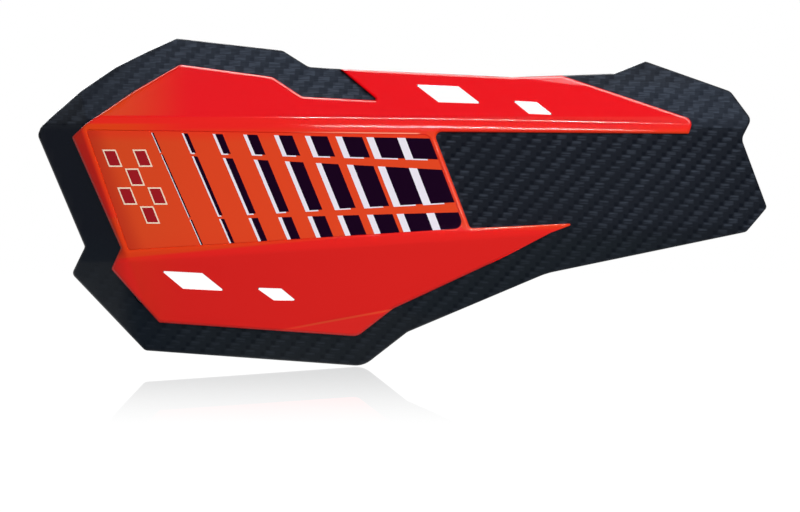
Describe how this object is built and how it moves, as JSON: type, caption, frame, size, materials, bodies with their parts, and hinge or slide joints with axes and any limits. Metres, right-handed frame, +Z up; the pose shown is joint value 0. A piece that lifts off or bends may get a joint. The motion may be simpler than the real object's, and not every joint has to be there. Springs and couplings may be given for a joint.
{
  "type": "motorcycle hand guard",
  "caption": "Open hand guard for a motorcycle handlebar: a curved, faceted carbon-look shell with a glossy cover screwed on from behind, a printed film in its recess and brass bracket inserts.",
  "frame": {"origin": "midway between the two mounting inserts, on the plane of their pads", "axes": "+X along the guard towards its narrow inner end, +Y back from the face towards the rider's hand, +Z up"},
  "size_m": [0.2696, 0.0669, 0.1213],
  "materials": {
    "carbon_shell": "moulded plastic with a satin carbon twill texture",
    "gloss_red": "glossy injection-moulded plastic",
    "orange_film": "laminated film, glossy",
    "print_black": "glossy printed black",
    "print_white": "glossy printed white",
    "print_dark_red": "glossy printed dark red",
    "print_cream": "glossy printed cream",
    "brass_insert": "machined brass",
    "black_screw": "black-coated steel",
    "zinc_washer": "bright zinc-plated steel"
  },
  "bodies": {
    "root": {"base_shell": "carbon_shell", "cover_shell": "gloss_red", "decal_film": "orange_film", "print_bars": "print_black", "print_edges": "print_white", "print_checks": "print_dark_red", "print_check_lines": "print_cream", "mount_insert_inner": "brass_insert", "mount_insert_outer": "brass_insert", "cover_screw_1": "black_screw", "cover_screw_2": "black_screw", "cover_screw_3": "black_screw", "cover_screw_4": "black_screw", "cover_screw_5": "black_screw", "cover_screw_6": "black_screw", "cover_washer_1": "zinc_washer", "cover_washer_2": "zinc_washer", "cover_washer_3": "zinc_washer", "cover_washer_4": "zinc_washer", "cover_washer_5": "zinc_washer", "cover_washer_6": "zinc_washer"}
  },
  "joints": []
}
